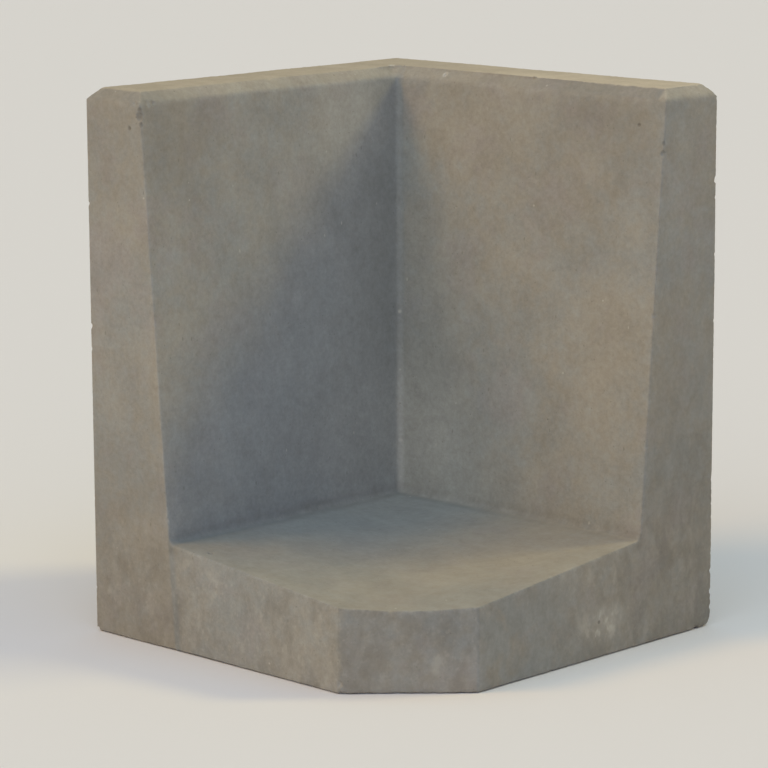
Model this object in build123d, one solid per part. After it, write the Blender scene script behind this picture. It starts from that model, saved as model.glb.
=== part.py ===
from build123d import *
import math
import os

# Driving dimensions, in millimetres and degrees
side = 400.0            # length of each wing along its outer face
height = 500.0          # height of the two walls
wall_top = 72.0         # thickness of a wall at its top, before the chamfer
wall_root = 102.0       # thickness of a wall where it meets the foot
foot_root = 98.0        # height of the foot where it meets the walls
foot_fall = 5.7         # angle at which the foot's top falls away from each wall
corner_cut = 85.0       # length taken off each edge of the foot at its free corner
top_chamfer = 10.5      # legs of the chamfer round the top of the walls
root_radius = 6.0       # fillet between a wall and the foot
valley_radius = 400.0   # rounding of the valley where the two falls of the foot meet
touching = 0.01         # how close a point counts as lying on a plane

# Places that follow from the driving dimensions
half = side / 2
batter = (wall_root - wall_top) / (height - foot_root)
fall = math.tan(math.radians(foot_fall))
corner_plane = Plane(origin=(0, 0, 0), z_dir=(1, 1, 0))


def wall_thickness(z):
    """Thickness of a wall at height z: upright outside, battered inside."""
    return wall_root - (z - foot_root) * batter


def along_side(*outline):
    """A section drawn in x and z, carried along the full side."""
    section = make_face(Polyline(*outline, close=True))
    return extrude(Plane.XZ * section, amount=half, both=True)


def both_wings(wing):
    """A wing joined to its mirror image across the corner."""
    return wing + mirror(wing, about=corner_plane)


def corner_prism(end):
    """Upright prism on the free corner (end 1) or on the walls' corner (end -1)."""
    tip = end * half
    back = end * (half - corner_cut)
    triangle = make_face(Polyline((tip, -tip), (tip, -back), (back, -tip), close=True))
    return extrude(triangle, amount=height)


def in_corner_plane(edge):
    """True for an edge that lies in the mirror plane of the two wings."""
    return all(abs(end.X + end.Y) < touching for end in edge.vertices())


def at_wall_root(edge):
    """True for an edge where the inner face of a wall meets the foot."""
    ends = edge.vertices()
    low = all(end.Z < (foot_root + height) / 2 for end in ends)
    on_first = all(abs(end.X + half - wall_thickness(end.Z)) < touching for end in ends)
    on_second = all(abs(half - end.Y - wall_thickness(end.Z)) < touching for end in ends)
    return low and (on_first or on_second)


def foot():
    """The shared foot: two falls that meet in a rounded valley, its free corner cut off."""
    wedge = along_side(
        (-half, 0),
        (half, 0),
        (half, foot_root - (side - wall_root) * fall),
        (-half, foot_root + wall_root * fall),
    )
    # The cut at the walls' corner only ends the valley on a flat face. The walls fill it.
    slab = both_wings(wedge) - corner_prism(1) - corner_prism(-1)
    valley = slab.edges().filter_by(in_corner_plane)
    return fillet(valley, valley_radius)


def walls():
    """Two battered walls that meet at a right angle."""
    return both_wings(along_side(
        (-half, 0),
        (wall_thickness(0) - half, 0),
        (wall_top - half, height),
        (-half, height),
    ))


def corner_block():
    """Walls and foot cast as one piece, with a filleted root and a chamfered top."""
    block = foot() + walls()
    block = fillet(block.edges().filter_by(at_wall_root), root_radius)
    top = block.faces().sort_by(Axis.Z)[-1]
    return chamfer(top.edges(), top_chamfer)


os.makedirs("parts", exist_ok=True)
export_step(corner_block(), "parts/corner_block.step")
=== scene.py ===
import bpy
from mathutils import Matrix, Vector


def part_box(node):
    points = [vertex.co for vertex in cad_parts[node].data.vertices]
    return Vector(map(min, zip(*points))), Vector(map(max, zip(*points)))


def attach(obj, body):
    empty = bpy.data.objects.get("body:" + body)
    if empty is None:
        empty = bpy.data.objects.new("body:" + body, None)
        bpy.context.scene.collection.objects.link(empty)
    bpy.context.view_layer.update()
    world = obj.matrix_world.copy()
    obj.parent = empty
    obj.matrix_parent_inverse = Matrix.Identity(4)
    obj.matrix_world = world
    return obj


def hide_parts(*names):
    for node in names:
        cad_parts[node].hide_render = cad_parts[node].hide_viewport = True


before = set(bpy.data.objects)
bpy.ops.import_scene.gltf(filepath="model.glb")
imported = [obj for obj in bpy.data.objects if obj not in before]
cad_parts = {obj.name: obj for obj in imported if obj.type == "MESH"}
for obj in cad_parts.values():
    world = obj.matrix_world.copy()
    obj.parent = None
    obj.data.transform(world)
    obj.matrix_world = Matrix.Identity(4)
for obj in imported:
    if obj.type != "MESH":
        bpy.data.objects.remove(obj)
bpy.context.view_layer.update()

import math
import random

import bmesh
import bpy
from bpy.props import FloatProperty, FloatVectorProperty, IntProperty, PointerProperty
from mathutils import Euler, Matrix, Vector, noise

bl_info = {
    "name": "Retaining wall corner block",
    "version": (1, 0, 0),
    "blender": (4, 5, 0),
    "location": "View3D > Sidebar > Corner block",
    "description": "Models a worn concrete corner block and sets it on a studio floor",
    "category": "Object",
}

NODE = "corner_block"
BODY = "root"
LOWEST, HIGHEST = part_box(NODE)
PICTURE_WIDTH = 36.0        # width of the camera's sensor, in millimetres
TOUCHING = 1e-5             # how close a point counts as lying on a plane, in metres
SHARP = math.radians(20)    # an edge that turns more than this is an arris
TRIANGLE_LIMIT = 198000     # the most triangles that the finished block may have


# Sizes and colours that a user would change

def length(label, description, default):
    """A length in metres that shows in the sidebar."""
    return FloatProperty(name=label, description=description, default=default, min=0.0,
                         precision=4, subtype="DISTANCE", unit="LENGTH")


def angle(label, description, degrees):
    """An angle that shows in degrees in the sidebar."""
    return FloatProperty(name=label, description=description, default=math.radians(degrees),
                         subtype="ANGLE", unit="ROTATION")


def colour(label, description, default):
    """A colour that shows as a swatch in the sidebar."""
    return FloatVectorProperty(name=label, description=description, default=default,
                               min=0.0, max=1.0, size=3, subtype="COLOR")


def strength(label, description, default):
    """The strength of a light."""
    return FloatProperty(name=label, description=description, default=default, min=0.0)


class BlockSizes(bpy.types.PropertyGroup):
    """Sizes of the block as it leaves the mould"""

    side: length("Side", "Length of each wing along its outer face", HIGHEST.x - LOWEST.x)
    height: length("Height", "Height of the two walls", HIGHEST.z - LOWEST.z)
    wall_top: length("Wall at top", "Thickness of a wall at its top, before the chamfer", 0.072)
    wall_root: length("Wall at root", "Thickness of a wall where it meets the foot", 0.102)
    foot_root: length("Foot at root", "Height of the foot where it meets the walls", 0.098)
    foot_fall: angle("Foot fall", "Angle at which the foot's top falls away from a wall", 5.7)
    corner_cut: length("Corner cut", "Length taken off the foot's edges at its free corner", 0.085)
    top_chamfer: length("Top chamfer", "Legs of the chamfer round the top of the walls", 0.0105)
    root_radius: length("Root fillet", "Fillet between a wall and the foot, and between the walls", 0.006)
    valley_radius: length("Valley rounding", "Rounding where the two falls of the foot meet", 0.4)


class BlockWear(bpy.types.PropertyGroup):
    """How far handling has worn the block"""

    grain: length("Mesh grain", "Spacing of the points that the wear is cut into", 0.0009)
    chip_spacing: length("Chip spacing", "Mean distance between chips along an arris", 0.006)
    chip_cluster: length("Chip cluster", "Length of the stretches of arris that are chipped", 0.05)
    chip_least: length("Smallest chip", "Reach of the smallest chip", 0.0011)
    chip_most: length("Largest chip", "Reach of the largest chip", 0.0048)
    pit_count: IntProperty(name="Pits", description="Number of air holes in the faces", default=70, min=0)
    pit_least: length("Smallest pit", "Radius of the smallest air hole", 0.0006)
    pit_most: length("Largest pit", "Radius of the largest air hole", 0.0015)
    worn_corner: length("Worn corner", "Length worn off each edge at the knocked lower corner", 0.014)
    arris_reach: length("Arris reach", "How far from an edge the edge is worn", 0.004)
    arris_loss: length("Arris loss", "Depth that is rubbed off the edges", 0.0010)
    rub_size: length("Rub size", "Size of the hollows that are rubbed into the edges", 0.004)
    unevenness: length("Unevenness", "How far the cast faces stray from flat", 0.0008)
    wave_size: length("Wave size", "Size of the wide hollows in the cast faces", 0.09)
    ripple_size: length("Ripple size", "Size of the shallow ripples in the cast faces", 0.02)
    draw: IntProperty(name="Draw", description="Which of many layouts of chips and pits", default=7)


class ConcreteColours(bpy.types.PropertyGroup):
    """Colours of the concrete"""

    warm: colour("Warm grey", "Sandy grey of most of the surface", (0.345, 0.308, 0.250))
    # The cool grey is also the painted shade where the walls shade each other.
    cool: colour("Cool grey", "Blue grey of the denser patches", (0.280, 0.287, 0.274))
    rosy: colour("Rosy grey", "Purple grey of some patches", (0.322, 0.287, 0.262))
    # The pale lime is also the painted light at the inner corner's root and high on the left wall.
    pale: colour("Pale lime", "Lime bloom, smears and fresh breaks", (0.530, 0.485, 0.410))
    # The dark stain colour is also the painted shade in the inner corner, along the root, on the ends and
    # chamfers, and inside the holes.
    dark: colour("Dark stain", "Damp stains, pits and dark grains", (0.132, 0.114, 0.090))
    # Painted light: the tan painted on the walls' tops and on part of their chamfers.
    painted_top_tan: colour("Dry tan", "Tops of the walls, which dry first", (0.462, 0.387, 0.284))


class StudioStage(bpy.types.PropertyGroup):
    """Camera, lights and floor"""

    azimuth: angle("Azimuth", "Direction of the camera, from -Y towards +X", 44.24)
    elevation: angle("Elevation", "Height of the camera above the horizon", 10.73)
    roll: angle("Roll", "Turn of the camera about its own axis", -0.27)
    distance: length("Distance", "From the camera to the middle of the picture", 3.107)
    focal_length: FloatProperty(name="Focal length", description="Focal length of the lens",
                                default=160.8, subtype="DISTANCE_CAMERA", unit="CAMERA")
    aim: FloatVectorProperty(name="Aim", description="Point at the middle of the picture",
                             default=(-0.0096, -0.0150, 0.2289), subtype="XYZ", unit="LENGTH")
    left_spread: angle("Left light", "From the camera round to the left light", 78.0)
    left_height: angle("Left height", "Height of the left light above the horizon", 44.0)
    left_softness: angle("Left softness", "Width of the left light as the block sees it", 22.0)
    left_strength: strength("Left strength", "Strength of the left light", 0.84)
    left_colour: colour("Left colour", "Colour of the left light", (1.0, 0.58, 0.12))
    back_spread: angle("Back light", "From the camera round to the back light, on the right", 99.0)
    back_height: angle("Back height", "Height of the back light above the horizon", 36.0)
    back_softness: angle("Back softness", "Width of the back light as the block sees it", 13.0)
    back_strength: strength("Back strength", "Strength of the back light", 0.88)
    back_colour: colour("Back colour", "Colour of the back light", (1.0, 0.82, 0.33))
    fill_height: angle("Fill height", "Height of the two fill lights above the horizon", 25.0)
    fill_softness: angle("Fill softness", "Width of each fill light as the block sees it", 80.0)
    near_spread: angle("Near fill", "From the camera round to the near fill light, on the left", 20.0)
    near_strength: strength("Near strength", "Strength of the near fill light", 1.06)
    near_colour: colour("Near colour", "Colour of the near fill light", (0.96, 1.0, 0.99))
    right_spread: angle("Right fill", "From the camera round to the right fill light", 36.0)
    right_strength: strength("Right strength", "Strength of the right fill light", 0.28)
    right_colour: colour("Right colour", "Colour of the right fill light", (0.06, 0.22, 1.0))
    sky_top: colour("Light from above", "Light that falls straight down", (0.56, 0.76, 0.88))
    sky_edge: colour("Light from the sides", "Light that comes in level", (0.12, 0.12, 0.15))
    floor_colour: colour("Floor colour", "Colour of the plain floor", (0.82, 0.79, 0.79))
    floor_size: length("Floor size", "Width of the plain floor", 40.0)


# Modelling by hand

def pick(kind, test):
    """In edit mode, select the faces, edges or verts of the object that pass a test."""
    bpy.ops.mesh.select_mode(type={"verts": "VERT", "edges": "EDGE", "faces": "FACE"}[kind])
    bpy.ops.mesh.select_all(action="DESELECT")
    mesh = bpy.context.edit_object.data
    form = bmesh.from_edit_mesh(mesh)
    for element in getattr(form, kind):
        element.select_set(bool(test(element)))
    form.select_flush_mode()
    bmesh.update_edit_mesh(mesh)


def lies(vert, x=None, y=None, z=None):
    """True for a vert at the given place. A direction left out may have any value."""
    wanted = (x, y, z)
    return all(w is None or abs(c - w) < TOUCHING for c, w in zip(vert.co, wanted))


def cut_through(place, across, **more):
    """Cut the whole mesh along a plane."""
    bpy.ops.mesh.select_all(action="SELECT")
    bpy.ops.mesh.bisect(plane_co=place, plane_no=across, **more)


def apply_modifier(piece, kind, **settings):
    """Add a modifier to a piece, set it and apply it."""
    bpy.context.view_layer.objects.active = piece
    modifier = piece.modifiers.new(kind.lower(), kind)
    for name, value in settings.items():
        setattr(modifier, name, value)
    bpy.ops.object.modifier_apply(modifier=modifier.name)


def wall_thickness(sizes, z):
    """Thickness of a wall at height z: upright outside, battered inside."""
    share = (z - sizes.foot_root) / (sizes.height - sizes.foot_root)
    return sizes.wall_root + (sizes.wall_top - sizes.wall_root) * share


def raise_walls(sizes, half, inner):
    """Extrude the two walls from the foot and batter their inner faces."""
    for place, across in (((-inner, 0, 0), (1, 0, 0)), ((0, inner, 0), (0, 1, 0))):
        cut_through(place, across)

    def under_walls(face):
        middle = face.calc_center_median()
        return face.normal.z > 0.9 and (middle.x < -inner or middle.y > inner)

    pick("faces", under_walls)
    rise = sizes.height - sizes.foot_root
    bpy.ops.mesh.extrude_region_move(TRANSFORM_OT_translate={"value": (0, 0, rise)})
    batter = sizes.wall_root - sizes.wall_top
    pick("verts", lambda v: lies(v, x=-inner, z=sizes.height) and v.co.y < inner + TOUCHING)
    bpy.ops.transform.translate(value=(-batter, 0, 0))
    past_first = sizes.wall_top - half - TOUCHING
    pick("verts", lambda v: lies(v, y=inner, z=sizes.height) and v.co.x > past_first)
    bpy.ops.transform.translate(value=(0, batter, 0))


def slope_foot(sizes, half, back):
    """Let the foot's top fall away from both walls and cut its free corner off."""
    inner = half - sizes.wall_root
    fall = math.tan(sizes.foot_fall)
    valley = ((-inner, inner, sizes.foot_root), (half, -half, sizes.foot_root))
    pick("verts", lambda v: any(lies(v, *end) for end in valley))
    bpy.ops.mesh.vert_connect()
    pick("verts", lambda v: lies(v, half, -half, sizes.foot_root))
    bpy.ops.transform.translate(value=(0, 0, -(sizes.side - sizes.wall_root) * fall))
    cut_through((back, -back, 0), (1, -1, 0), use_fill=True, clear_outer=True)


def soften_roots(sizes):
    """Fillet the edges where the walls stand on the foot and where they meet each other."""
    def on_inner_faces(place):
        reach = wall_thickness(sizes, place.z) - sizes.side / 2
        first = abs(place.x - reach) < TOUCHING and place.y < TOUCHING - reach
        second = abs(place.y + reach) < TOUCHING and place.x > reach - TOUCHING
        return first, second

    def at_root(edge):
        ends = [v.co for v in edge.verts]
        low = all(abs(end.z - sizes.foot_root) < TOUCHING for end in ends)
        first, second = (all(on) for on in zip(*map(on_inner_faces, ends)))
        return low and (first or second) or first and second

    pick("edges", at_root)
    batter = math.atan((sizes.wall_root - sizes.wall_top) / (sizes.height - sizes.foot_root))
    turn = math.pi / 2 - batter - sizes.foot_fall
    bpy.ops.mesh.bevel(offset=sizes.root_radius * math.tan(turn / 2), segments=6, affect="EDGES")


def round_valley(sizes, back):
    """Round the valley where the two falls of the foot meet."""
    def in_valley(edge):
        ends = [v.co for v in edge.verts]
        level = all(abs(end.x + end.y) < TOUCHING for end in ends)
        on_top = all(end.z > sizes.foot_root / 2 for end in ends)
        return level and on_top and any(abs(end.x - back) < TOUCHING for end in ends)

    pick("edges", in_valley)
    fall = math.tan(sizes.foot_fall)
    turn = math.acos(1 / (1 + fall * fall))
    bpy.ops.mesh.bevel(offset=sizes.valley_radius * math.tan(turn / 2), segments=10, affect="EDGES")


def chamfer_top(sizes):
    """Chamfer the edges round the top of the walls."""
    def on_top(face):
        return face.normal.z > 0.9 and face.calc_center_median().z > sizes.height - TOUCHING

    pick("faces", on_top)
    bpy.ops.mesh.region_to_loop()
    bpy.ops.mesh.bevel(offset=sizes.top_chamfer, segments=1, affect="EDGES")


def wear_corner(half, reach):
    """Round the lower corner that has been knocked about the most."""
    pick("verts", lambda v: lies(v, half, half, 0))
    bpy.ops.mesh.bevel(offset=reach, segments=4, affect="VERTICES")


def moulded_block(sizes, wear):
    """The block with the edges that the mould gave it and one corner worn round."""
    half = sizes.side / 2
    inner = half - sizes.wall_root
    back = half - sizes.corner_cut / 2
    bpy.ops.object.select_all(action="DESELECT")
    bpy.ops.mesh.primitive_cube_add(size=1, location=(0, 0, sizes.foot_root / 2),
                                    scale=(sizes.side, sizes.side, sizes.foot_root))
    bpy.ops.object.transform_apply(location=True, rotation=True, scale=True)
    block = bpy.context.active_object
    block.name = "cast_block"
    bpy.ops.object.mode_set(mode="EDIT")
    raise_walls(sizes, half, inner)
    slope_foot(sizes, half, back)
    soften_roots(sizes)
    round_valley(sizes, back)
    chamfer_top(sizes)
    wear_corner(half, wear.worn_corner)
    bpy.ops.mesh.select_all(action="SELECT")
    bpy.ops.mesh.remove_doubles(threshold=TOUCHING)
    bpy.ops.mesh.normals_make_consistent(inside=False)
    bpy.ops.object.mode_set(mode="OBJECT")
    return block


# Wear

def arrises(block):
    """Start, end and outward direction of each edge that points outward, always in the same order."""
    form = bmesh.new()
    form.from_mesh(block.data)
    found = []
    for edge in form.edges:
        if edge.is_convex and edge.calc_face_angle() > SHARP:
            outward = sum((face.normal for face in edge.link_faces), Vector())
            start, end = sorted((v.co.copy() for v in edge.verts), key=tuple)
            found.append((start, end, outward.normalized()))
    form.free()
    return sorted(found, key=lambda line: (*line[0], *line[1]))


def arris_lines(lines):
    """A wire along the arrises, from which the wear is measured."""
    mesh = bpy.data.meshes.new("arris_lines")
    points = [point for start, end, outward in lines for point in (start, end)]
    mesh.from_pydata(points, [(i, i + 1) for i in range(0, len(points), 2)], [])
    wire = bpy.data.objects.new("arris_lines", mesh)
    bpy.context.scene.collection.objects.link(wire)
    return wire


def fresh_breaks(sizes):
    """Place and reach of the newest chips, which are still pale."""
    chamfer = sizes.top_chamfer
    inner_top = sizes.side / 2 - sizes.wall_top
    return [
        (Vector((-inner_top - chamfer, 0.130, sizes.height)), 0.0028),
        (Vector((-0.072, inner_top + chamfer / 2, sizes.height - chamfer / 2)), 0.0026),
    ]


def face_pits(sizes):
    """Place and reach of the larger air holes in the faces, which get painted shade inside."""
    half = sizes.side / 2
    return [
        (Vector((0.170, half - wall_thickness(sizes, 0.466), 0.466)), 0.0021),
        (Vector((half, 0.042, 0.033)), 0.002),
        (Vector((-0.059, -0.186, 0.0945)), 0.0028),
    ]


def crumbs(sizes):
    """Place and reach of the crumbled spots on the walls' ends, high up, which get painted shade inside.
    """
    half = sizes.side / 2
    for z, back, reach in ((0.484, 0.001, 0.0030), (0.478, 0.002, 0.0042), (0.471, 0.0, 0.0030),
                           (0.467, 0.016, 0.0022)):
        yield Vector((wall_thickness(sizes, z) - half - back, -half, z)), reach
    for z, reach in ((0.452, 0.0030), (0.443, 0.0036)):
        yield Vector((half, half - wall_thickness(sizes, z), z)), reach


def corner_specks(sizes):
    """Place and reach of the lime specks on the fillet between the two walls."""
    round_off = sizes.root_radius * (1 - math.sqrt(0.5))
    for z, reach in ((0.269, 0.0020), (0.214, 0.0011), (0.147, 0.0024), (0.112, 0.0012)):
        inner = sizes.side / 2 - wall_thickness(sizes, z) - round_off
        yield Vector((-inner, inner, z)), reach


def knocks(sizes):
    """Place and reach of the larger pieces that have been knocked off the block."""
    half = sizes.side / 2
    top = sizes.height

    def right_edge(z):
        return Vector((half + 0.001, half + 0.001, z))

    return [
        *fresh_breaks(sizes),
        *face_pits(sizes),
        *crumbs(sizes),
        (right_edge(0.018), 0.0045),
        (right_edge(0.026), 0.0030),
        (right_edge(0.033), 0.0038),
        (right_edge(0.044), 0.0026),
        (right_edge(0.052), 0.0040),
        (right_edge(0.064), 0.0030),
        (right_edge(0.081), 0.0035),
        (right_edge(0.345), 0.0030),
        (right_edge(0.398), 0.0035),
        (right_edge(0.421), 0.0028),
        (Vector((half, half - 0.012, 0.001)), 0.003),
        (Vector((half, half - 0.021, -0.002)), 0.005),
        (Vector((half + 0.006, half + 0.006, top + 0.004)), 0.017),
        (Vector((-half - 0.002, -half - 0.002, 0.0)), 0.007),
        (Vector((-half - 0.003, half + 0.003, 0.0)), 0.012),
        (Vector((-half - 0.002, half + 0.002, 0.240)), 0.006),
    ]


def chips(lines, wear, draw):
    """Place and reach of the small chips along the arrises, in clusters."""
    for start, end, outward in lines:
        for _ in range(round((end - start).length / wear.chip_spacing)):
            place = start.lerp(end, draw.random())
            reach = wear.chip_least + (wear.chip_most - wear.chip_least) * draw.random() ** 5
            sunk = draw.uniform(0.25, 0.65)
            if noise.noise(place / wear.chip_cluster) > -0.05:
                yield place + outward * reach * sunk, reach


def pits(block, wear, draw):
    """Place and radius of the air holes in the faces."""
    faces = sorted(block.data.polygons, key=lambda face: tuple(face.center))
    chosen = draw.choices(faces, [face.area for face in faces], k=wear.pit_count)
    for face in chosen:
        corners = sorted((block.data.vertices[i].co for i in face.vertices), key=tuple)
        shares = [draw.random() for _ in corners]
        place = sum((c * share for c, share in zip(corners, shares)), Vector()) / sum(shares)
        yield place, draw.uniform(wear.pit_least, wear.pit_most)


def rough_stones(count):
    """A few rough stones of radius 1, each modelled once, to break chips with."""
    stones = []
    for seed in range(count):
        bpy.ops.object.select_all(action="DESELECT")
        bpy.ops.mesh.primitive_ico_sphere_add(subdivisions=2, radius=1)
        stone = bpy.context.active_object
        bpy.ops.object.mode_set(mode="EDIT")
        bpy.ops.mesh.select_all(action="SELECT")
        bpy.ops.transform.vertex_random(offset=0.15, uniform=0.3, normal=0.7, seed=seed)
        bpy.ops.object.mode_set(mode="OBJECT")
        stones.append(stone)
    return stones


def break_out(block, losses, draw):
    """Break a rough stone's shape out of the block at each place."""
    stones = rough_stones(4)
    copies = []
    for place, reach in losses:
        copy = draw.choice(stones).copy()
        copy.data = copy.data.copy()
        turn = Euler([draw.uniform(0, math.tau) for _ in range(3)]).to_matrix().to_4x4()
        size = Matrix.Diagonal([reach * draw.uniform(0.75, 1.25) for _ in range(3)]).to_4x4()
        copy.data.transform(Matrix.Translation(place) @ turn @ size)
        bpy.context.scene.collection.objects.link(copy)
        copies.append(copy)
    bpy.ops.object.select_all(action="DESELECT")
    for copy in copies:
        copy.select_set(True)
    bpy.context.view_layer.objects.active = copies[0]
    bpy.ops.object.join()
    apply_modifier(block, "BOOLEAN", object=copies[0], operation="DIFFERENCE", solver="MANIFOLD")
    for spent in (copies[0], *stones):
        bpy.data.objects.remove(spent)


def sink(piece, size, depth, group=""):
    """Sink a piece's surface by a cloudy depth, where a vertex group allows it."""
    texture = bpy.data.textures.new("hollows", type="CLOUDS")
    texture.noise_scale = size
    texture.noise_depth = 2
    apply_modifier(piece, "DISPLACE", texture=texture, texture_coords="LOCAL",
                   strength=-depth, mid_level=0.0, vertex_group=group)
    bpy.data.textures.remove(texture)


def mark_arrises(block, wire, reach):
    """Weigh the block's points by how near they are to an arris."""
    group = block.vertex_groups.new(name="arris")
    group.add(range(len(block.data.vertices)), 1.0, "REPLACE")
    apply_modifier(block, "VERTEX_WEIGHT_PROXIMITY", vertex_group=group.name, target=wire,
                   proximity_mode="GEOMETRY", proximity_geometry={"EDGE"},
                   min_dist=reach, max_dist=0.0, falloff_type="SMOOTH")


def keep_arris_marks(block):
    """Keep the arris weights as an attribute that the concrete can read."""
    weights = [point.groups[0].weight if point.groups else 0.0 for point in block.data.vertices]
    block.vertex_groups.clear()
    marks = block.data.attributes.new("arris", "FLOAT", "POINT")
    marks.data.foreach_set("value", weights)


def weather(block, sizes, wear):
    """Chip the block's arrises, pit its faces and make them a little uneven."""
    draw = random.Random(wear.draw)
    lines = arrises(block)
    losses = [*knocks(sizes), *chips(lines, wear, draw), *pits(block, wear, draw)]
    wire = arris_lines(lines)
    apply_modifier(block, "REMESH", mode="VOXEL", voxel_size=wear.grain, adaptivity=0.01)
    mark_arrises(block, wire, wear.arris_reach)
    sink(block, wear.rub_size, wear.arris_loss, "arris")
    sink(block, wear.wave_size, wear.unevenness)
    sink(block, wear.ripple_size, wear.unevenness / 4)
    block.vertex_groups.clear()
    break_out(block, losses, draw)
    apply_modifier(block, "REMESH", mode="VOXEL", voxel_size=wear.grain, adaptivity=0.02)
    apply_modifier(block, "SMOOTH", factor=0.5, iterations=1)
    mark_arrises(block, wire, wear.arris_reach)
    keep_arris_marks(block)
    bpy.data.objects.remove(wire)
    apply_modifier(block, "TRIANGULATE")
    bpy.ops.object.select_all(action="DESELECT")
    block.select_set(True)
    bpy.context.view_layer.objects.active = block
    bpy.ops.object.shade_smooth()
    apply_modifier(block, "WEIGHTED_NORMAL", mode="FACE_AREA", weight=50)


# Shader maths

class Signal:
    """A value on its way through a material. Sums with it add Math nodes."""

    def __init__(self, recipe, socket):
        self.recipe = recipe
        self.socket = socket

    def maths(self, operation, *values):
        """A Math node fed with the values in turn."""
        return self.recipe.node("ShaderNodeMath", {"operation": operation}, dict(enumerate(values)))

    def __add__(self, other):
        return self.maths("ADD", self, other)

    def __radd__(self, other):
        return self.maths("ADD", other, self)

    def __sub__(self, other):
        return self.maths("SUBTRACT", self, other)

    def __rsub__(self, other):
        return self.maths("SUBTRACT", other, self)

    def __mul__(self, other):
        return self.maths("MULTIPLY", self, other)

    def __rmul__(self, other):
        return self.maths("MULTIPLY", other, self)

    def __gt__(self, other):
        return self.maths("GREATER_THAN", self, other)

    def __lt__(self, other):
        return self.maths("LESS_THAN", self, other)

    def larger(self, other):
        return self.maths("MAXIMUM", self, other)

    def smaller(self, other):
        return self.maths("MINIMUM", self, other)

    def sibling(self, output):
        """Another output of the node that this value comes from."""
        return Signal(self.recipe, self.socket.node.outputs[output])

    def fade(self, start, end):
        """0 at start and 1 at end, with a smooth passage between."""
        return self.recipe.node(
            "ShaderNodeMapRange", {"interpolation_type": "SMOOTHSTEP", "clamp": True},
            {"Value": self, "From Min": start, "From Max": end, "To Min": 0.0, "To Max": 1.0})


class Recipe:
    """The node tree of a material or of the world's light."""

    def __init__(self, owner):
        owner.use_nodes = True
        self.tree = owner.node_tree
        self.tree.nodes.clear()

    def node(self, kind, settings=None, sockets=None, output=0):
        """Add a node, with its settings first and then its sockets' values or links."""
        node = self.tree.nodes.new(kind)
        for name, value in (settings or {}).items():
            setattr(node, name, value)
        for key, value in (sockets or {}).items():
            if isinstance(value, Signal):
                self.tree.links.new(value.socket, node.inputs[key])
            else:
                node.inputs[key].default_value = value
        return Signal(self, node.outputs[output]) if node.outputs else None

    def place(self, offset=(0, 0, 0), stretch=(1, 1, 1)):
        """Object coordinates, moved and stretched."""
        whole = self.node("ShaderNodeTexCoord", output="Object")
        return self.node("ShaderNodeMapping", None,
                         {"Vector": whole, "Location": offset, "Scale": stretch})

    def cloud(self, size, detail=3.0, offset=(0, 0, 0), stretch=(1, 1, 1), distortion=0.0):
        """Cloudy noise with clouds of the given size in metres."""
        return self.node("ShaderNodeTexNoise", None, {
            "Vector": self.place(offset, stretch), "Scale": 1 / size, "Detail": detail,
            "Roughness": 0.55, "Distortion": distortion})

    def spots(self, size, radius, share, offset=(0, 0, 0), stretch=(1, 1, 1)):
        """Spots of the given radius, in some of the cells of the given size."""
        settings = {"voronoi_dimensions": "3D", "feature": "F1"}
        sockets = {"Vector": self.place(offset, stretch), "Scale": 1 / size}
        distance = self.node("ShaderNodeTexVoronoi", settings, sockets, "Distance")
        chance = self.node("ShaderNodeSeparateColor", None, {"Color": distance.sibling("Color")}, "Red")
        return (1 - distance.fade(0.5 * radius / size, radius / size)) * (chance < share)

    def near(self, place, start, end, stretch=(1, 1, 1)):
        """1 up to a distance from a place, and 0 from a larger distance on."""
        middle = Vector(place) * Vector(stretch)
        away = self.node("ShaderNodeVectorMath", {"operation": "DISTANCE"},
                         {0: self.place(stretch=stretch), 1: middle}, "Value")
        return 1 - away.fade(start, end)

    def blend(self, share, first, second, how="MIX"):
        """Two colours mixed by a share."""
        settings = {"data_type": "RGBA", "blend_type": how}
        return self.node("ShaderNodeMix", settings,
                         {"Factor": share, 6: opaque(first), 7: opaque(second)}, 2)

    def grey(self, value):
        """A value as a grey colour."""
        return self.node("ShaderNodeCombineColor", None,
                         {"Red": value, "Green": value, "Blue": value})


def opaque(tint):
    """A colour with full alpha, or a link as it is."""
    return tint if isinstance(tint, Signal) else (*tint, 1.0)


# Concrete

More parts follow.
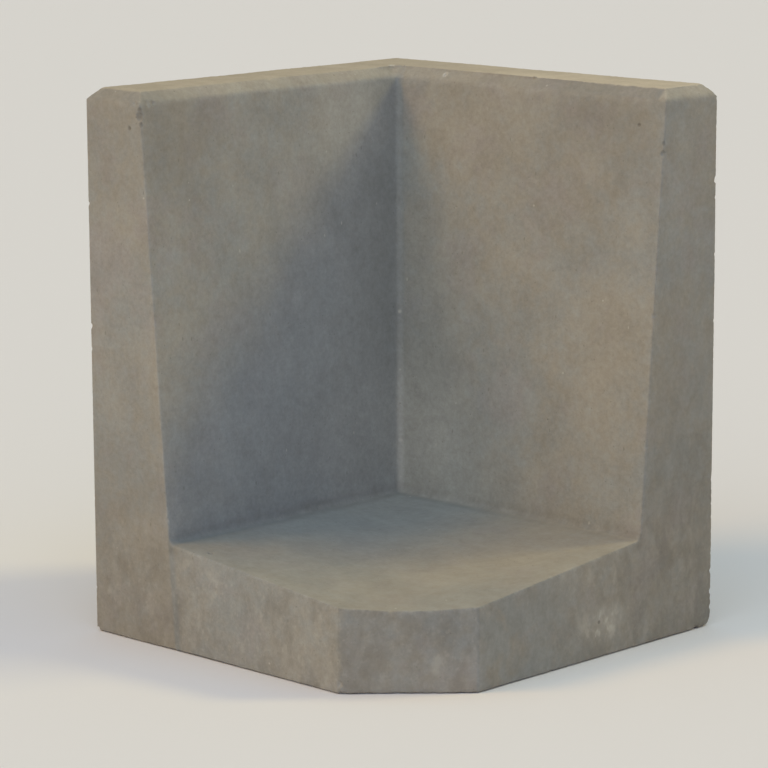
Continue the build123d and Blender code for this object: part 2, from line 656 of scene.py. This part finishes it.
class Cast:
    """Where a point lies on the block, how deep it lies in the painted corner shade, and the clouds, sand
    and air holes of the cast there.
    """

    def __init__(self, recipe, sizes):
        self.recipe = recipe
        whole = recipe.node("ShaderNodeTexCoord", output="Object")
        self.x = recipe.node("ShaderNodeSeparateXYZ", None, {"Vector": whole}, "X")
        self.y, self.z = self.x.sibling("Y"), self.x.sibling("Z")
        facing = recipe.node("ShaderNodeNewGeometry", output="Normal")
        self.level = recipe.node("ShaderNodeSeparateXYZ", None, {"Vector": facing}, "Z").fade(0.75, 0.95)
        self.low = (1 - self.z.fade(0.05, 0.16)) * (1 - self.level)
        chamfer_foot = sizes.height - sizes.top_chamfer
        self.under_top = self.z.fade(chamfer_foot - 0.003, chamfer_foot + 0.003)

        self.blotches = recipe.cloud(0.012, 3.0, (0.6, 0.8, 0.3))
        self.mottle = recipe.cloud(0.045, 5.0, (0.7, 0.2, 0.5), distortion=0.4)
        self.sand = recipe.cloud(0.005, 3.0)
        self.grit = recipe.cloud(0.0022, 3.0, (0.2, 0.4, 0.9))
        self.air_holes = recipe.spots(0.035, 0.0013, 0.20, (0.9, 0.1, 0.6))
        fine = 0.34 * self.sand + 0.24 * self.grit - 0.29
        self.shade = 0.69 + 0.38 * self.mottle + 0.26 * self.blotches + fine * (1 - 0.45 * self.level)

        batter = (sizes.wall_root - sizes.wall_top) / (sizes.height - sizes.foot_root)
        inner = sizes.side / 2 - sizes.wall_root + (self.z - sizes.foot_root) * batter
        self.from_left = self.x + inner
        self.from_right = inner - self.y
        self.from_wall = self.from_left.smaller(self.from_right)
        self.inside = self.from_wall.fade(-0.004, 0.0)
        self.on_left = self.inside * (1 - self.from_left.fade(0.002, 0.008))
        self.on_right = self.inside * (1 - self.from_right.fade(0.002, 0.008))
        # Painted shade: how deep a point lies in the shade of the inner corner, strongest near the
        # corner, low down and on the left wall.
        reach = (1.5 * self.from_left).larger(0.92 * self.from_right)
        reach = reach + 0.75 * (self.z - sizes.foot_root).larger(0.0)
        reach = reach + 0.06 * self.mottle - 0.12 * self.on_left
        self.painted_corner_shade = self.inside * (1 - reach.fade(0.14, 0.38))

    def clouded(self, tint, gain=1.0):
        """A colour with the clouds and the sand of the cast in it."""
        return self.recipe.blend(1.0, tint, self.recipe.grey(self.shade * gain), "MULTIPLY")


def bare_grey(cast, colours):
    """The bare concrete: warm grey with cool and rosy patches."""
    recipe = cast.recipe
    patches = recipe.cloud(0.16, 3.0, (0.3, 0.1, 0.2)) + 0.5 * cast.blotches
    tint = recipe.blend(0.8 * patches.fade(0.54, 0.98), colours.warm, colours.cool)
    rosy = recipe.cloud(0.06, 3.0, (1.3, 0.7, 0.4)) + 0.3 * recipe.cloud(0.009, 2.0, (0.1, 0.9, 0.7))
    tint = recipe.blend(0.5 * rosy.fade(0.62, 0.84), tint, colours.rosy)
    return cast.clouded(tint)


def inner_walls(tint, cast, sizes, colours):
    """Painted shade, cool and dark, where the walls shade each other, painted light at their root and
    high on the left wall, damp stains near the tops, and a painted shadow line along the root.
    """
    recipe = cast.recipe
    half = sizes.side / 2
    root = sizes.foot_root
    top = sizes.height
    cool = cast.clouded(colours.cool)
    pale = cast.clouded(colours.pale)
    # Painted shade: cool grey where the walls shade each other, weaker on the right wall.
    tint = recipe.blend(cast.painted_corner_shade * (0.85 - 0.30 * cast.on_right), tint, cool)
    # Painted shadow: the cool, dark wedge that the right wall casts on the left wall beside the corner.
    shade_and_damp = cast.on_left * (1 - cast.from_right.fade(0.02, 0.11)) * cast.z.fade(0.14, 0.30)
    tint = recipe.blend(0.60 * shade_and_damp, tint, cool)
    tint = recipe.blend(0.16 * shade_and_damp, tint, colours.dark)
    corner = (sizes.wall_root - half, half - sizes.wall_root, root)
    # Painted light: paler at the root of the inner corner, most on the right wall.
    painted_root_light = cast.inside * recipe.near(corner, 0.05, 0.15) * (0.14 + 0.24 * cast.on_right)
    tint = recipe.blend(painted_root_light, tint, pale)
    # Painted light: paler high on the left wall, beside the painted shadow.
    painted_wall_light = cast.on_left * recipe.near((-0.126, 0.055, top - 0.03), 0.01, 0.08)
    tint = recipe.blend(0.28 * painted_wall_light, tint, pale)
    cloudy = 1.4 - 0.8 * cast.mottle
    left_damp = cast.on_left * recipe.near((-0.126, -0.16, top - 0.035), 0.02, 0.10)
    tint = recipe.blend(0.16 * left_damp * cloudy, tint, colours.dark)
    right_damp = cast.on_right * recipe.near((0.13, half - sizes.wall_top, top - 0.05), 0.03, 0.12)
    tint = recipe.blend(0.14 * right_damp * cloudy, tint, colours.dark)
    # Painted shade: a dark line in the crease where the walls meet the foot.
    at_root = (1 - cast.from_wall.fade(0.001, 0.015)) * (1 - cast.z.fade(root, root + 0.014))
    dirt_and_shade = cast.inside * at_root * cast.z.fade(root - 0.012, root - 0.006)
    return recipe.blend(0.30 * dirt_and_shade, tint, colours.dark)


def foot_sides(tint, cast, sizes, colours):
    """Lime drags, damp patches and scuffs low on the upright faces, and painted shade on the cut corner.
    """
    recipe = cast.recipe
    drags = recipe.cloud(0.014, 4.0, stretch=(1.0, 1.0, 0.65)).fade(0.46, 0.68)
    smears = recipe.cloud(0.035, 4.0, (0.4, 0.9, 0.0), (1.0, 1.0, 0.8)).fade(0.46, 0.62)
    tint = recipe.blend(0.40 * cast.low * drags * smears, tint, colours.pale)
    # Damp stains in cloudy patches low on the upright faces.
    shade_and_damp = recipe.cloud(0.024, 5.0, (0.2, 0.6, 0.1), (1.0, 1.0, 0.6), 0.6).fade(0.46, 0.68)
    tint = recipe.blend(0.25 * cast.low * shade_and_damp, tint, colours.dark)
    scuffs = recipe.cloud(0.004, 3.0, (0.7, 0.1, 0.4), (1.0, 1.0, 0.8)).fade(0.54, 0.70)
    tint = recipe.blend(0.16 * cast.low * scuffs, tint, colours.pale)
    # Painted shade: the cut corner face made darker.
    cut = sizes.side - sizes.corner_cut
    cut_face = (cast.x - cast.y).fade(cut - 0.003, cut - 0.002)
    return recipe.blend(0.18 * cut_face, tint, colours.dark)


def wall_ends(tint, cast, sizes, colours):
    """Painted shade under cloudy dirt on the two ends, with a dark splash and a wiped patch low on the
    right one.
    """
    recipe = cast.recipe
    half = sizes.side / 2
    x, y, z = cast.x, cast.y, cast.z
    right_end = x.fade(half - 0.003, half - 0.001)
    slate = recipe.cloud(0.05, 3.0, (0.1, 0.3, 0.8), distortion=0.5).fade(0.38, 0.56)
    slate = slate * cast.low * (1 - y.fade(-0.06, 0.06))
    tint = recipe.blend(0.7 * right_end * slate, tint, cast.clouded(colours.cool))
    # Cloudy dirt that breaks up the painted shade on both ends.
    dirt_and_shade = recipe.cloud(0.014, 4.0, (0.8, 0.5, 0.2), (1.0, 1.0, 0.6), 0.5).fade(0.32, 0.68)
    dirt_and_shade = 0.8 + 0.4 * dirt_and_shade
    # Painted shade over the whole right end, deeper low down, with a dark splash towards its back.
    splash = (1 - z.fade(0.10, 0.42)) * (0.5 + 0.5 * z.fade(0.04, 0.12)) * y.fade(0.05, 0.13)
    shade_and_stain = 0.17 + 0.10 * (1 - z.fade(0.06, 0.14)) + 0.24 * splash
    tint = recipe.blend(right_end * shade_and_stain * dirt_and_shade, tint, colours.dark)
    # Painted shade on the left end, low down and near the top.
    left_end = (1 - y.fade(0.001 - half, 0.003 - half)) * (1 - x.fade(-0.11, -0.06))
    shade_and_stain = 0.20 * (1 - z.fade(0.10, 0.26)) + 0.09 * z.fade(0.36, 0.46)
    tint = recipe.blend(left_end * shade_and_stain * dirt_and_shade, tint, colours.dark)
    wiped = recipe.near((half, 0.048, 0.030), 0.004, 0.024, (1.0, 0.6, 1.0))
    strokes = recipe.cloud(0.010, 3.0, (0.3, 0.2, 0.6), (1.0, 1.0, 0.7)).fade(0.46, 0.66)
    return recipe.blend(wiped * (0.16 + 0.44 * strokes), tint, colours.pale)


def painted_top_light_and_shade(tint, cast, sizes, colours):
    """Painted light: warmer on top of the foot, and paler on the walls' tops and part of their chamfers;
    painted shade on the rest of the chamfers.
    """
    recipe = cast.recipe
    half = sizes.side / 2
    on_walls = cast.level * cast.z.fade(sizes.foot_root, sizes.height)
    # Painted light: warmer on the foot's top outside the painted corner shade.
    on_foot = cast.level * (1 - on_walls) * (1 - cast.painted_corner_shade)
    tint = recipe.blend(0.45 * on_foot, tint, cast.clouded(colours.warm))
    # Painted light: the walls' tops paler and warmer, brighter towards the right end.
    painted_top_gain = 1 + 0.22 * cast.x.fade(-0.12, 0.05)
    tint = recipe.blend(0.85 * on_walls, tint, cast.clouded(colours.painted_top_tan, painted_top_gain))
    # Painted light on the chamfers over the middle of the left wall and at the right end.
    chamfer = cast.under_top * (1 - on_walls)
    painted_chamfer_light = recipe.near((-0.13, 0.0, sizes.height), 0.08, 0.25)
    painted_chamfer_light = painted_chamfer_light.larger(cast.x.fade(half - 0.012, half - 0.008))
    tint = recipe.blend(0.50 * chamfer * painted_chamfer_light, tint, cast.clouded(colours.painted_top_tan))
    # Painted shade on the rest of the chamfers, in blotches.
    return recipe.blend(0.38 * chamfer * (1 - painted_chamfer_light) * cast.blotches, tint, colours.dark)


def grains_and_specks(tint, cast, sizes, colours):
    """Pale worn arrises, dark grains, lime specks, fresh breaks, and painted shade in the holes."""
    recipe = cast.recipe
    arris = recipe.node("ShaderNodeAttribute", {"attribute_name": "arris"}, output="Fac")
    rubbed = recipe.cloud(0.008, 3.0, (0.1, 0.5, 0.3)).fade(0.46, 0.62)
    tint = recipe.blend(0.16 * arris * (1 - cast.under_top) * rubbed, tint, colours.pale)
    grains = recipe.spots(0.007, 0.0009, 0.28)
    ticks = recipe.spots(0.011, 0.0011, 0.25, (0.4, 0.7, 0.2), (1.0, 1.0, 0.45))
    tint = recipe.blend(0.34 * grains.larger(ticks), tint, colours.dark)
    specks = recipe.spots(0.022, 0.0013, 0.28, (0.5, 0.3, 0.1))
    drips = recipe.spots(0.016, 0.0010, 0.20, (0.2, 0.8, 0.5), (1.0, 1.0, 0.45))
    tint = recipe.blend(0.60 * specks.larger(drips), tint, colours.pale)
    for place, reach in fresh_breaks(sizes):
        tint = recipe.blend(0.95 * recipe.near(place, 0.8 * reach, 1.5 * reach), tint, colours.pale)
    for place, reach in corner_specks(sizes):
        tint = recipe.blend(0.6 * recipe.near(place, 0.4 * reach, 1.3 * reach), tint, colours.pale)
    # Painted shade inside the larger pits and the crumbled spots.
    for place, reach in (*face_pits(sizes), *crumbs(sizes)):
        tint = recipe.blend(0.6 * recipe.near(place, 0.6 * reach, 1.2 * reach), tint, colours.dark)
    # Painted shade inside the air holes.
    return recipe.blend(0.50 * cast.air_holes, tint, colours.dark)


def concrete(sizes, colours):
    """Matt cast concrete, soiled by handling and weather, with painted light and shade on it."""
    material = bpy.data.materials.new("cast_concrete")
    recipe = Recipe(material)
    cast = Cast(recipe, sizes)
    tint = bare_grey(cast, colours)
    for soil in (inner_walls, foot_sides, wall_ends, painted_top_light_and_shade, grains_and_specks):
        tint = soil(tint, cast, sizes, colours)
    relief = 0.6 * cast.sand + 0.30 * cast.blotches + 0.6 * cast.grit - cast.air_holes
    normal = recipe.node("ShaderNodeBump", None,
                         {"Strength": 0.6, "Distance": 0.0006, "Height": relief})
    shader = recipe.node("ShaderNodeBsdfPrincipled", None, {
        "Base Color": tint, "Roughness": 0.86 + 0.10 * cast.grit, "Normal": normal,
        "Specular IOR Level": 0.25})
    recipe.node("ShaderNodeOutputMaterial", None, {"Surface": shader})
    return material


# Stage

def plain_floor(stage):
    """A plain pale floor under the block."""
    bpy.ops.object.select_all(action="DESELECT")
    bpy.ops.mesh.primitive_plane_add(size=stage.floor_size, location=(0, 0, LOWEST.z))
    floor = bpy.context.active_object
    floor.name = "studio_floor"
    paint = bpy.data.materials.new("studio_floor")
    recipe = Recipe(paint)
    shader = recipe.node("ShaderNodeBsdfPrincipled", None, {
        "Base Color": opaque(stage.floor_colour), "Roughness": 0.9, "Specular IOR Level": 0.1})
    recipe.node("ShaderNodeOutputMaterial", None, {"Surface": shader})
    floor.data.materials.append(paint)


def direction(azimuth, elevation):
    """Unit vector from the block towards a place round it."""
    across = math.cos(elevation)
    return Vector((math.sin(azimuth) * across, -math.cos(azimuth) * across, math.sin(elevation)))


def soft_light(name, towards, softness, energy, tint):
    """A wide light far away that shines on the block."""
    bpy.ops.object.light_add(type="SUN", location=towards,
                             rotation=towards.to_track_quat("Z", "Y").to_euler())
    light = bpy.context.active_object
    light.name = name
    light.data.angle = softness
    light.data.energy = energy
    light.data.color = tint


def studio_lights(stage):
    """A soft warm light on the left, a smaller one at the back and two wide fill lights in front."""
    left = direction(stage.azimuth - stage.left_spread, stage.left_height)
    back = direction(stage.azimuth + stage.back_spread, stage.back_height)
    near = direction(stage.azimuth - stage.near_spread, stage.fill_height)
    right = direction(stage.azimuth + stage.right_spread, stage.fill_height)
    soft_light("left_light", left, stage.left_softness, stage.left_strength, stage.left_colour)
    soft_light("back_light", back, stage.back_softness, stage.back_strength, stage.back_colour)
    soft_light("near_fill", near, stage.fill_softness, stage.near_strength, stage.near_colour)
    soft_light("right_fill", right, stage.fill_softness, stage.right_strength, stage.right_colour)


def ambient_light(stage):
    """Soft light from all round that is strongest from above."""
    world = bpy.data.worlds.new("studio_ambient")
    sky = Recipe(world)
    whole = sky.node("ShaderNodeTexCoord", output="Generated")
    height = sky.node("ShaderNodeSeparateXYZ", None, {"Vector": whole}, "Z").larger(0.0)
    light = sky.blend(height * height, stage.sky_edge, stage.sky_top)
    background = sky.node("ShaderNodeBackground", None, {"Color": light})
    sky.node("ShaderNodeOutputWorld", None, {"Surface": background})
    bpy.context.scene.world = world


def picture_camera(stage):
    """The camera that sees the block from its inner side."""
    away = direction(stage.azimuth, stage.elevation)
    upright = away.to_track_quat("Z", "Y")
    turn = upright.to_matrix() @ Matrix.Rotation(stage.roll, 3, "Z")
    bpy.ops.object.camera_add(location=Vector(stage.aim) + away * stage.distance,
                              rotation=turn.to_euler())
    camera = bpy.context.active_object
    camera.name = "picture_camera"
    camera.data.sensor_width = PICTURE_WIDTH
    camera.data.lens = stage.focal_length
    bpy.context.scene.camera = camera


class RETAINING_OT_cast_block(bpy.types.Operator):
    """Model the corner block, wear it and give it its concrete"""

    bl_idname = "retaining_wall.cast_block"
    bl_label = "Cast corner block"

    def execute(self, context):
        sizes = context.scene.block_sizes
        wear = context.scene.block_wear
        block = moulded_block(sizes, wear)
        weather(block, sizes, wear)
        triangles = len(block.data.polygons)
        if triangles > TRIANGLE_LIMIT:
            raise RuntimeError(f"the block has {triangles} triangles, more than {TRIANGLE_LIMIT}")
        block.data.materials.clear()
        block.data.materials.append(concrete(sizes, context.scene.concrete_colours))
        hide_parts(NODE)
        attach(block, BODY)
        return {"FINISHED"}


class RETAINING_OT_studio_stage(bpy.types.Operator):
    """Set up the plain floor, the soft lights and the camera"""

    bl_idname = "retaining_wall.studio_stage"
    bl_label = "Set up stage"

    def execute(self, context):
        stage = context.scene.studio_stage
        plain_floor(stage)
        studio_lights(stage)
        ambient_light(stage)
        picture_camera(stage)
        context.scene.view_settings.view_transform = "Standard"
        return {"FINISHED"}


class RETAINING_PT_corner_block(bpy.types.Panel):
    """Sidebar panel of the corner block"""

    bl_idname = "RETAINING_PT_corner_block"
    bl_label = "Corner block"
    bl_space_type = "VIEW_3D"
    bl_region_type = "UI"
    bl_category = "Corner block"

    def draw(self, context):
        steps = (
            (RETAINING_OT_cast_block, ("block_sizes", "block_wear", "concrete_colours")),
            (RETAINING_OT_studio_stage, ("studio_stage",)),
        )
        for operator, groups in steps:
            box = self.layout.box()
            box.operator(operator.bl_idname)
            for group in groups:
                settings = getattr(context.scene, group)
                for name in settings.__annotations__:
                    box.prop(settings, name)


SETTINGS = {
    "block_sizes": BlockSizes,
    "block_wear": BlockWear,
    "concrete_colours": ConcreteColours,
    "studio_stage": StudioStage,
}
CLASSES = (
    *SETTINGS.values(),
    RETAINING_OT_cast_block,
    RETAINING_OT_studio_stage,
    RETAINING_PT_corner_block,
)


def register():
    for made in CLASSES:
        bpy.utils.register_class(made)
    for name, group in SETTINGS.items():
        setattr(bpy.types.Scene, name, PointerProperty(type=group))


def unregister():
    for name in SETTINGS:
        delattr(bpy.types.Scene, name)
    for made in reversed(CLASSES):
        bpy.utils.unregister_class(made)


def main():
    """Make the block and its stage."""
    register()
    bpy.ops.retaining_wall.cast_block()
    bpy.ops.retaining_wall.studio_stage()


if __name__ == "__main__":
    main()
